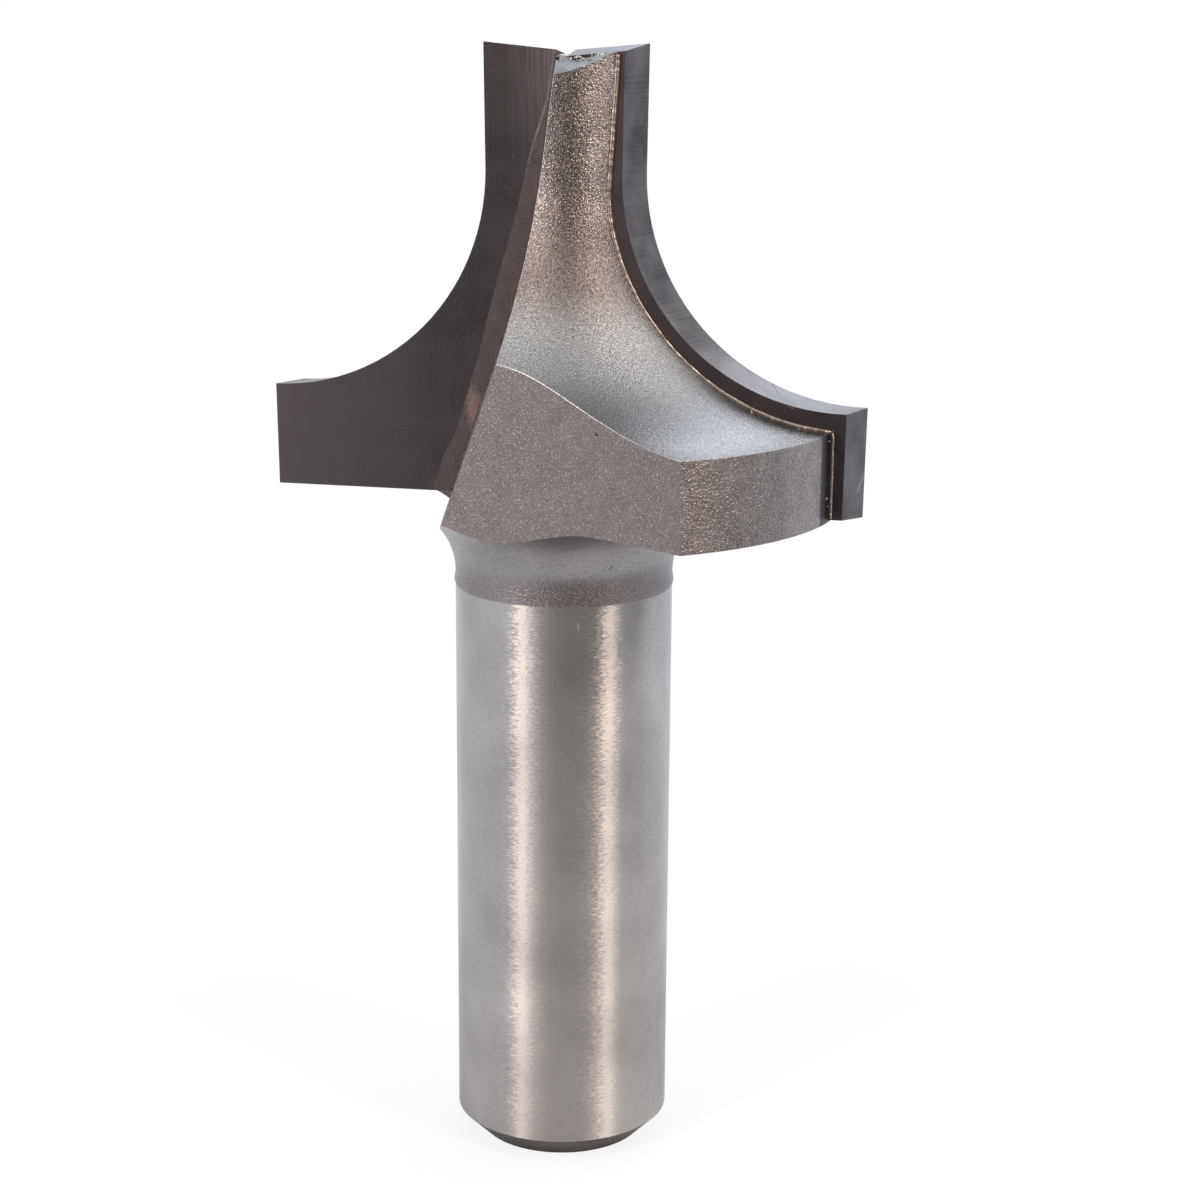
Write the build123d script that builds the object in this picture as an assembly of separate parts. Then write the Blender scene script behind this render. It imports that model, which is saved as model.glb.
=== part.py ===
from build123d import *
import math
import os

os.makedirs("parts", exist_ok=True)

# Millimetres. Z is the turning axis and points up from the end of the shank at z = 0.
# The rake faces of the two cutters lie in the plane y = 0; side 1 cuts at -X, side 2 at +X.
inch = 25.4

# Cutting profile: outer land, hollow quarter circle, straight tip
cutting_diameter = 1.375 * inch
tip_diameter = 0.375 * inch
land_height = 6.08
cut_radius = 0.5 * inch
tip_length = 7.14
land_taper = 0.8
tip_taper = 0.76

# Shank and neck
shank_diameter = 0.5 * inch
shank_chamfer = 1.4
shank_length = 39.08
neck_fillet = 4.2
neck_straight = 0.73
neck_bead = 0.08
neck_bead_rise = 0.25
neck_bead_height = 0.6

# Steel head, set back from the cutting profile
rim_inset = 1.4625
nose_inset = 0.48
cove_clearance = 0.25
cove_shift_in = 0.53
cove_shift_down = 0.81

# Cutter plates
cutter_thickness = 2.4
side_relief = 0.92
low_relief = 0.03
tip_dish = 5.3
tip_relief = 6.8
bottom_relief = 6.0
cutter_1_bottom = 0.12
cutter_2_bottom = -0.21

# Brazed seats
braze_gap = 0.08
braze_bead = 0.1
braze_rise = 0.3

# Gullet wall: two lines joined by a large radius, seen square to the rake face
web_at_tip = 0.43
wall_upper_slope = 0.129
wall_foot_offset = 0.46
wall_lower_slope = 0.346
wall_blend = 60.0
wall_skew = 0.21

# Trailing face of the flange, milled slightly hollow
wing_face_angle = 250.5
wing_face_distance = 7.65
wing_face_radius = 52.0

# Ground end of the steel nose, flush with the back edges of the cutter tops
end_relief = 28.1
end_slope_x = 0.142

shank_radius = shank_diameter / 2
cutting_radius = cutting_diameter / 2
tip_radius = tip_diameter / 2

land_top_z = shank_length + land_height
arc_center_z = land_top_z + cut_radius
overall_length = arc_center_z + tip_length
arc_foot_r = tip_radius - tip_length * math.tan(math.radians(tip_taper))
arc_center_r = arc_foot_r + cut_radius

seat_depth = cutter_thickness + braze_gap
dish = math.tan(math.radians(tip_dish))
tip_fall = math.tan(math.radians(tip_relief))
end_fall = math.tan(math.radians(end_relief))
tip_center_z = overall_length - tip_radius * dish
tip_back_z = tip_center_z - cutter_thickness * tip_fall

# Construction solids reach past the tool by these amounts
reach = cutting_diameter
above = overall_length + cut_radius
below = shank_length - cut_radius
half_sine = math.sqrt(0.5)


def body_outline(grow):
    """Half outline of the turned steel blank, grown outwards on the head by a small amount."""
    neck_center_r = shank_radius + neck_fillet
    neck_center_z = shank_length - neck_fillet
    neck_mid = neck_fillet * half_sine
    ground_z = neck_center_z - neck_straight
    cove_radius = cut_radius + cove_clearance - grow
    cove_r = arc_center_r - cove_shift_in
    cove_z = arc_center_z - cove_shift_down
    cove_mid = cove_radius * half_sine
    rim_radius = cutting_radius - rim_inset + grow
    rim_top_z = cove_z - math.sqrt(cove_radius**2 - (cove_r - rim_radius) ** 2)
    nose_foot_r = cove_r - cove_radius
    nose_top_r = tip_radius - nose_inset + grow
    nose_slope = (nose_top_r - nose_foot_r) / (overall_length - cove_z)
    nose_end_r = nose_foot_r + nose_slope * (above - cove_z)
    shank = Polyline(
        (0, 0),
        (shank_radius - shank_chamfer, 0),
        (shank_radius, shank_chamfer),
        (shank_radius, ground_z),
        (shank_radius + neck_bead, ground_z + neck_bead_rise),
        (shank_radius, ground_z + neck_bead_height),
        (shank_radius, neck_center_z),
    )
    neck = ThreePointArc(
        (shank_radius, neck_center_z),
        (neck_center_r - neck_mid, neck_center_z + neck_mid),
        (neck_center_r, shank_length),
    )
    rim = Polyline((neck_center_r, shank_length), (rim_radius, shank_length), (rim_radius, rim_top_z))
    cove = ThreePointArc((rim_radius, rim_top_z), (cove_r - cove_mid, cove_z - cove_mid), (nose_foot_r, cove_z))
    nose = Polyline((nose_foot_r, cove_z), (nose_end_r, above), (0, above), (0, 0))
    return Plane.XZ * make_face([shank, neck, rim, cove, nose])


def turned(grow):
    return revolve(body_outline(grow), Axis.Z, 360)


def wall_polygon(gap):
    """Everything outside the gullet wall of side 1, on the rake plane, kept clear by a gap."""
    upper_c = -web_at_tip - wall_upper_slope * overall_length - gap
    lower_c = -shank_radius - wall_foot_offset - wall_lower_slope * shank_length - gap
    corner_z = (upper_c - lower_c) / (wall_lower_slope - wall_upper_slope)
    corner = (upper_c + wall_upper_slope * corner_z, corner_z)
    top = (upper_c + wall_upper_slope * above, above)
    foot = (lower_c + wall_lower_slope * below, below)
    face = make_face(Polyline(foot, corner, top, (-reach, above), (-reach, below), foot))
    corners = [v for v in face.vertices() if abs(v.Y - corner_z) < 0.01]
    return Plane.XZ * fillet(corners, wall_blend)


def slot(depth, gap):
    """Open seat of side 1 behind the rake plane."""
    return extrude(wall_polygon(gap), amount=depth, dir=(0, 1, 0))


def gullet():
    """Chip space of side 1 in front of the rake plane; its wall leans away from the cutter."""
    run = Vector(wall_skew, -1, 0)
    return extrude(wall_polygon(0), amount=reach * run.length, dir=run)


def wing_cut():
    """Space past the trailing face of the flange of side 2."""
    angle = math.radians(wing_face_angle)
    axis_r = wing_face_distance + wing_face_radius
    place = Pos(axis_r * math.cos(angle), axis_r * math.sin(angle), (above + below) / 2)
    return place * Cylinder(wing_face_radius, above - below)


def space_above(center_z, slope_x, slope_y, side):
    """Everything above a tilted plane through the turning axis, on one side of the rake plane."""
    plane = Plane(origin=(0, 0, center_z), x_dir=(1, 0, slope_x), z_dir=(-slope_x, -slope_y, 1))
    slab = extrude(plane * Rectangle(4 * reach, 4 * reach), amount=2 * reach)
    half = Pos(0, side * reach, center_z) * Box(4 * reach, 2 * reach, 8 * reach)
    return slab & half


def turned_over(shape):
    return Rot(0, 0, 180) * shape


def cutter_outline():
    """Cutting profile of side 1, left long at the tip, the bottom and the inner edge for trimming."""
    arc_mid = cut_radius * half_sine
    tip_end_r = arc_foot_r + (above - arc_center_z) * math.tan(math.radians(tip_taper))
    land_end_r = cutting_radius - (land_top_z - below) * math.tan(math.radians(land_taper))
    tip = Polyline((reach / 4, above), (-tip_end_r, above), (-arc_foot_r, arc_center_z))
    arc = ThreePointArc(
        (-arc_foot_r, arc_center_z),
        (-arc_center_r + arc_mid, arc_center_z - arc_mid),
        (-arc_center_r, land_top_z),
    )
    land = Polyline(
        (-arc_center_r, land_top_z),
        (-cutting_radius, land_top_z),
        (-land_end_r, below),
        (reach / 4, below),
        (reach / 4, above),
    )
    return Plane.XZ * make_face([tip, arc, land])


def cutter_blank():
    run = Vector(side_relief, cutter_thickness, -low_relief)
    return extrude(cutter_outline(), amount=run.length, dir=run) & slot(cutter_thickness, braze_gap)


def cutter(bottom_offset):
    tip_space = space_above(tip_center_z, -dish, -tip_fall, 1)
    bottom = space_above(shank_length + bottom_offset, 0, math.tan(math.radians(bottom_relief)), 1)
    return (cutter_blank() & bottom) - tip_space


def braze_joint():
    """Thin braze behind the cutter and at its inner edge, with a small bead along the steel."""
    head = space_above(shank_length + braze_rise, 0, 0, 1)
    joint = (turned(braze_bead) & seat & head) - cutter_blank()
    for cut in end_cuts:
        joint = joint - turned_over(cut)
    return joint


seat = slot(seat_depth, 0)
end_cuts = (
    space_above(tip_back_z, dish, 0, -1),
    space_above(tip_back_z + seat_depth * end_fall, end_slope_x, end_fall, -1),
)

steel_body = turned(0)
for tool in (gullet(), seat, wing_cut(), *end_cuts):
    steel_body = steel_body - tool - turned_over(tool)

nodes = {
    "steel_body": steel_body,
    "carbide_cutter_1": cutter(cutter_1_bottom),
    "carbide_cutter_2": turned_over(cutter(cutter_2_bottom)),
    "braze_joint_1": braze_joint(),
    "braze_joint_2": turned_over(braze_joint()),
}

for name, shape in nodes.items():
    shape.label = name
    export_step(shape, os.path.join("parts", name + ".step"))
    box = shape.bounding_box()
    print(name, len(shape.solids()), round(shape.volume, 2), box.min, box.max)
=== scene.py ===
import math
from functools import partial

import bmesh
import bpy
from mathutils import Matrix, Vector, noise


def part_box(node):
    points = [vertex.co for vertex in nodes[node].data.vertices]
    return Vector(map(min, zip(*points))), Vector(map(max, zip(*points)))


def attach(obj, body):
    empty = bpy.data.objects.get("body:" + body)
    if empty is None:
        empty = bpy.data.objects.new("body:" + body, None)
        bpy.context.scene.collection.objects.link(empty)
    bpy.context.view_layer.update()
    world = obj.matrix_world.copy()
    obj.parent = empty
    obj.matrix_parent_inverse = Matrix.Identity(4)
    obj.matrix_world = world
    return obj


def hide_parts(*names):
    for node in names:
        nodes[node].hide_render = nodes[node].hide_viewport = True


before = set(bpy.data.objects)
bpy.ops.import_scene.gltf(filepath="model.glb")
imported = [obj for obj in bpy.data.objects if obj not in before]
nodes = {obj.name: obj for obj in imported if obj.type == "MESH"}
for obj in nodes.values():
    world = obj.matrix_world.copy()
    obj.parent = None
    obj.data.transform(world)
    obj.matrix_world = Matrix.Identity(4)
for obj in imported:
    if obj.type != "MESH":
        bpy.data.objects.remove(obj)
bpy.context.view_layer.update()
mm = 0.001                # the scene is in metres, the sizes below are in millimetres
touching = 1e-7           # metres, corners nearer than this are one corner
flatWithin = 0.05         # degrees, faces that meet flatter than this are one face
noiseSpan = (0.3, 0.7)    # where most values of a noise texture lie
grainSpan = (0.35, 0.65)  # a narrower span, which makes more of its grain
print("frame loaded:", ", ".join(sorted(nodes)))

cutterLow, cutterHigh = (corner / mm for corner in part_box("carbide_cutter_2"))
brazeLow, brazeHigh = (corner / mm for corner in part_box("braze_joint_2"))

# Sizes of the bit, read from the frame where a box gives them
bit = {
    "height": cutterHigh.z,
    "steelTop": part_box("steel_body")[1].z / mm,
    "cutterThickness": cutterHigh.y - cutterLow.y,
    "seatDepth": brazeHigh.y - brazeLow.y,
    "rimRadius": 16.0,
    "flangeUnderside": 39.08,
    "shankGroundTop": 34.15,   # above this the neck is blasted
    "shankChamfer": 1.4,
    "sideRelief": 0.92 / 2.4,  # how far a relief land falls back per millimetre of thickness
}


# Fills a node's inputs, by name or in order, with plain values, or links them to a socket or to
# a node's output in use
def fillInputs(node, inputs):
    for key, value in inputs.items() if isinstance(inputs, dict) else enumerate(inputs):
        if isinstance(value, bpy.types.Node):
            value = next(output for output in value.outputs if output.enabled)
        if isinstance(value, bpy.types.NodeSocket):
            node.id_data.links.new(value, node.inputs[key])
        else:
            node.inputs[key].default_value = value


# Adds a node, sets its properties, then fills or links its inputs. A shader node's kind is given
# without its first word. A Map Range's inputs in order are its value, the span that it is in and
# the span that it goes to.
def addNode(tree, kind, inputs=(), **settings):
    node = tree.nodes.new(kind if "Node" in kind else "ShaderNode" + kind)
    for key, value in settings.items():
        setattr(node, key, value)
    fillInputs(node, inputs)
    return node


def linear(hexColour):
    channels = [int(hexColour[i:i + 2], 16) / 255 for i in (0, 2, 4)]
    return [c / 12.92 if c <= 0.04045 else ((c + 0.055) / 1.055) ** 2.4 for c in channels] + [1.0]


# Texture scale that gives a feature of this many millimetres
def perMm(size):
    return 1 / (size * mm)


def addObject(name, data):
    added = bpy.data.objects.new(name, data)
    bpy.context.scene.collection.objects.link(added)
    return added


def newMaterial(name):
    material = bpy.data.materials.new(name)
    material.use_nodes = True
    material.node_tree.nodes.clear()
    add = partial(addNode, material.node_tree)
    return material, add, add("TexCoord").outputs["Object"]


def newMetal(name):
    material, add, place = newMaterial(name)
    shader = add("BsdfPrincipled", {"Metallic": 1.0})
    add("OutputMaterial", {"Surface": shader})
    return material, add, shader, place


# Lays a colour over a finish as a value goes through a span. The shares are how much of it shows
# at the span's two ends. A relief that is given changes its strength as much as the colour shows.
def layOver(add, colour, over, value, span, shares=(0.0, 1.0), ease="LINEAR", blend="MIX",
            relief=None, strength=1.0):
    share = add("MapRange", [value, *span, *shares], interpolation_type=ease)
    if relief:
        fillInputs(relief, {"Strength": add("MapRange", [share, 0.0, max(shares), 1.0, strength])})
    return add("Mix", {"Factor": share, "A": colour, "B": linear(over)}, data_type="RGBA", blend_type=blend)


# Every grain shows as a darker or paler fleck, between these two shares of the colour
def addFlecks(add, colour, grain, least, most):
    fleck = add("MapRange", [grain, *grainSpan, least, most])
    return add("Mix", {"Factor": 1.0, "A": colour, "B": fleck}, data_type="RGBA", blend_type="MULTIPLY")


# Single deep pits, this far apart
def addPits(add, place, colour, spacing, pitColour, span, share):
    pits = add("TexVoronoi", {"Vector": place, "Scale": perMm(spacing)})
    return layOver(add, colour, pitColour, pits, span, (share, 0.0))


# Short ragged scratches: each has its ends in mm, its half width and its colour
scratch = {"crumb": 0.12, "inside": 0.9, "outside": 1.5, "share": 0.9}


def addScratches(add, place, colour, scratches):
    crumbs = add("TexNoise", {"Vector": place, "Scale": perMm(scratch["crumb"]), "Detail": 2.0})
    for start, end, width, scratchColour in scratches:
        along = Vector(end) - Vector(start)
        away = add("VectorMath", [place, Vector(start) * mm], operation="SUBTRACT")
        share = add("VectorMath", [away, along / (along.length_squared * mm)], operation="DOT_PRODUCT")
        held = add("MapRange", {"Value": share})
        nearest = add("VectorMath", {0: along * mm, "Scale": held}, operation="SCALE")
        aside = add("VectorMath", [away, nearest], operation="DISTANCE")
        ragged = add("Math", [crumbs, width * mm, aside], operation="MULTIPLY_ADD")
        span = (width * scratch["inside"] * mm, width * scratch["outside"] * mm)
        colour = layOver(add, colour, scratchColour, ragged, span, (scratch["share"], 0.0))
    return colour


# The lines of a grinding wheel, drawn along the direction whose size is given as the longest
def groundLines(add, place, sizes, detail, harshness):
    stretch = add("VectorMath", [place, [perMm(size) for size in sizes]], operation="MULTIPLY")
    return add("TexNoise", {"Vector": stretch, "Scale": 1.0, "Detail": detail, "Roughness": harshness})


# Gives a shader its colour, its relief and a gloss that swings with a texture
def dress(shader, colour, relief, texture, least, most, span=noiseSpan):
    gloss = addNode(shader.id_data, "MapRange", [texture, *span, least, most])
    fillInputs(shader, {"Base Color": colour, "Roughness": gloss, "Normal": relief})
    return gloss


# Shot-blasted tool steel: every grain is a small dent, so the surface is a soft grey-brown
# with bright grains where a dent faces a lamp.
blasting = {
    "swellGrains": 4,         # grains to a swell of the surface
    # the glint span sets how fast the painted glints come in
    "toneSpan": (0.5, 1.0), "glintSpan": 0.08,
    "pits": ("2C2624", (0.02, 0.045), 0.6),   # colour, span from the middle of a pit, share
    "scorchShare": 0.45, "glossSwing": 0.08,
}


def blastedSteel(name, look):
    material, add, shader, place = newMetal(name)
    dents = add("TexNoise", {"Vector": place, "Scale": perMm(look["grain"]), "Detail": 2.0, "Roughness": 0.6})
    swell = add("TexNoise", {
        "Vector": place, "Scale": perMm(look["grain"] * blasting["swellGrains"]), "Detail": 1.0})
    height = add("Math", [swell, look["swell"], dents], operation="MULTIPLY_ADD")
    relief = add("Bump", {"Height": height, "Distance": look["depth"] * mm})
    cloud = add("TexNoise", {
        "Vector": place, "Scale": perMm(look["cloud"]), "Detail": 3.0, "Roughness": 0.55})
    mottle = add("Math", [cloud, 0.5, dents], operation="MULTIPLY_ADD")
    colour = layOver(add, linear(look["dark"]), look["light"], mottle, blasting["toneSpan"])
    # painted glints: the sharpest grain tips are painted bright, whatever faces them
    glints = add("TexNoise", {"Vector": place, "Scale": perMm(look["glintSize"]), "Detail": 1.0})
    colour = layOver(add, colour, look["tip"], glints, (look["glintFrom"], look["glintFrom"] + blasting["glintSpan"]))
    apart = add("SeparateXYZ", {"Vector": place}).outputs
    # painted light and shade: the cove's colour changes with height
    for low, high, most, shadeColour in look.get("heightShades", ()):
        colour = layOver(add, colour, shadeColour, apart["Z"], (low * mm, high * mm), (most, 0.0),
                         ease="SMOOTHSTEP")
    if "zoneGrain" in look:
        colour = addFlecks(add, colour, dents, *look["zoneGrain"])
    if "finer" in look:       # low in the cove the shot left a finer grain
        low, high, least = look["finer"]
        fillInputs(relief, {"Strength": add("MapRange", [apart["Z"], low * mm, high * mm, least, 1.0])})
    colour = addPits(add, place, colour, look["pitSpacing"], *blasting["pits"])
    if "band" in look:        # a band along the seat was sheltered from the shot and is smoother; its near-black colour is a painted reflection of the cutter's dark back
        depth = add("Math", [apart["Y"]], operation="ABSOLUTE")
        ragged = add("Math", [swell, look["bandRagged"] * mm, depth], operation="MULTIPLY_ADD")
        span = (look["band"] * mm, (look["band"] + look["bandSoft"]) * mm)
        colour = layOver(add, colour, look["bandReflectionColour"], ragged, span, (look["bandShare"], 0.0),
                         relief=relief, strength=look["bandRelief"])
    if "scorch" in look:      # the heat of the brazing coloured the foot of the neck
        low, high, scorchColour, strength = look["scorch"]
        colour = layOver(add, colour, scorchColour, apart["Z"], (low * mm, high * mm),
                         (blasting["scorchShare"], 0.0), "SMOOTHSTEP", "MULTIPLY", relief, strength)
    colour = addScratches(add, place, colour, look.get("scratches", ()))
    gloss, swing = look["gloss"], blasting["glossSwing"]
    gloss = dress(shader, colour, relief, dents, gloss + swing, gloss - swing)
    if "dull" in look:        # half way down the cove the blasting left it duller
        low, lowEnd, high, highEnd, most = look["dull"]
        above, under = (
            add("MapRange", [apart["Z"], start * mm, end * mm, *shares], interpolation_type="SMOOTHSTEP")
            for start, end, shares in ((low, lowEnd, (0.0, most)), (high, highEnd, (1.0, 0.0))))
        fillInputs(shader, {"Roughness": add("Math", [above, under, gloss], operation="MULTIPLY_ADD")})
    return material


# Centreless-ground steel: the wheel leaves short lines round the shank, so a lamp shows as a
# tall streak with a ragged edge.
def groundShankSteel(name, look):
    material, add, shader, place = newMetal(name)
    lines = groundLines(add, place, look["line"], 3.0, 0.65)
    normal = add("NewGeometry").outputs["Normal"]
    around = add("VectorMath", [(0.0, 0.0, 1.0), normal], operation="CROSS_PRODUCT")
    swing = add("MapRange", [lines, *noiseSpan, -look["lineSwing"], look["lineSwing"]])
    aside = add("VectorMath", {0: around, "Scale": swing}, operation="SCALE")
    turned = add("VectorMath", [normal, aside], operation="ADD")
    straight = add("VectorMath", [turned], operation="NORMALIZE")
    relief = add("Bump", {"Height": lines, "Distance": look["lineDepth"] * mm, "Normal": straight})
    cloud = add("TexNoise", {"Vector": place, "Scale": perMm(look["cloud"]), "Detail": 3.0})
    blotch = add("Math", [lines, look["lineShow"], cloud], operation="MULTIPLY_ADD")
    colour = layOver(add, linear(look["dark"]), look["light"], blotch, look["toneSpan"])
    colour = addScratches(add, place, colour, look["scratches"])
    gloss, swing = look["gloss"], look["glossSwing"]
    dress(shader, colour, relief, cloud, gloss - swing, gloss + swing)
    fillInputs(shader, {
        "Anisotropic": look["anisotropy"], "Anisotropic Rotation": look["quarterTurn"],
        "Tangent": add("Tangent", direction_type="RADIAL", axis="Z")})
    return material


# Surface-ground metal: straight fine lines in one direction give a soft pale sheen across them.
grinding = {
    # where the darkest and the palest tone lie, and how far the lines move them
    "tone": ((0.35, 0.4), (0.65, 0.6)),
    "pits": ((0.03, 0.055), 0.7),
    "glossDown": 0.05, "glossUp": 0.07,
    "smearCrumb": 0.25, "smearRagged": 1.6, "smearSpan": (1.1, 1.9), "smearShare": 0.65,
    "streakInside": (3.6, 1.6),       # mm from the axis where the single lines begin and show in full
    "streakLine": (0.42, 0.64), "streakLeast": 0.35,
}


def groundFace(name, look):
    material, add, shader, place = newMetal(name)
    apart = add("SeparateXYZ", {"Vector": place}).outputs
    along = add("Math", [apart["Y"], -look.get("shear", 0.0), apart["X"]], operation="MULTIPLY_ADD")
    across = add("CombineXYZ", {"X": along, "Y": apart["Y"], "Z": apart["Z"]})
    lines = groundLines(add, across, look["line"], 4.0, 0.6)
    relief = add("Bump", {"Height": lines, "Distance": look["lineDepth"] * mm})
    cloud = add("TexNoise", {"Vector": place, "Scale": perMm(look["cloud"]), "Detail": 3.0})
    blend = add("Math", [lines, look["lineShow"], cloud], operation="MULTIPLY_ADD")
    darkest, palest = (start + line * look["lineShow"] for start, line in grinding["tone"])
    colour = layOver(add, linear(look["dark"]), look["light"], blend, (darkest, palest))
    colour = addPits(add, place, colour, look["pitSpacing"], look["pit"], *grinding["pits"])
    if "grain" in look:       # the grit of the carbide: grain size in mm, darkest and palest share
        size, least, most = look["grain"]
        grit = add("TexNoise", {"Vector": place, "Scale": perMm(size), "Detail": 2.0})
        colour = addFlecks(add, colour, grit, least, most)
    if "smear" in look:       # a rough patch of braze that ran over the face
        x, z, halfWidth, halfHeight, smearColour = look["smear"]
        away = add("VectorMath", [place, (x * mm, 0.0, z * mm)], operation="SUBTRACT")
        scaled = add("VectorMath", [away, (perMm(halfWidth), 0.0, perMm(halfHeight))], operation="MULTIPLY")
        distance = add("VectorMath", [scaled], operation="LENGTH")
        crumbs = add("TexNoise", {"Vector": place, "Scale": perMm(grinding["smearCrumb"]), "Detail": 4.0})
        blot = add("Math", [crumbs, grinding["smearRagged"], distance], operation="MULTIPLY_ADD")
        colour = layOver(add, colour, smearColour, blot, grinding["smearSpan"], (grinding["smearShare"], 0.0))
    if "streak" in look:      # further out the face wore paler, near the tip the wheel left bright lines
        aside = add("Math", [apart["X"]], operation="ABSOLUTE")
        inner, outer, wornColour = look["worn"]
        colour = layOver(add, colour, wornColour, aside, (inner * mm, outer * mm))
        low, high, streakColour = look["streak"]
        near, nearest = grinding["streakInside"]
        shown = 1.0
        for value, start, end, least in (
                (apart["Z"], low * mm, high * mm, 0.0), (aside, near * mm, nearest * mm, 0.0),
                (lines, *grinding["streakLine"], grinding["streakLeast"])):
            part = add("MapRange", [value, start, end, least, 1.0])
            shown = add("Math", [shown, part], operation="MULTIPLY")
        colour = layOver(add, colour, streakColour, shown, (0.0, 1.0))
    colour = addScratches(add, place, colour, look.get("scratches", ()))
    gloss = look["gloss"]
    dress(shader, colour, relief, lines, gloss - grinding["glossDown"], gloss + grinding["glossUp"])
    return material


# Silver braze: it flowed as a liquid, so it is smooth and rounded, pale gold, with a few
# duller patches of burnt flux.
def silverBraze(name, look):
    material, add, shader, place = newMetal(name)
    ripple = add("TexNoise", {"Vector": place, "Scale": perMm(look["ripple"]), "Detail": 3.0})
    relief = add("Bump", {"Height": ripple, "Distance": look["depth"] * mm})
    flux = add("TexNoise", {"Vector": place, "Scale": perMm(look["flux"]), "Detail": 4.0})
    colour = layOver(add, linear(look["bright"]), look["burnt"], flux, look["burntSpan"])
    dress(shader, colour, relief, flux, look["gloss"], look["burntGloss"], look["burntSpan"])
    return material


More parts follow.
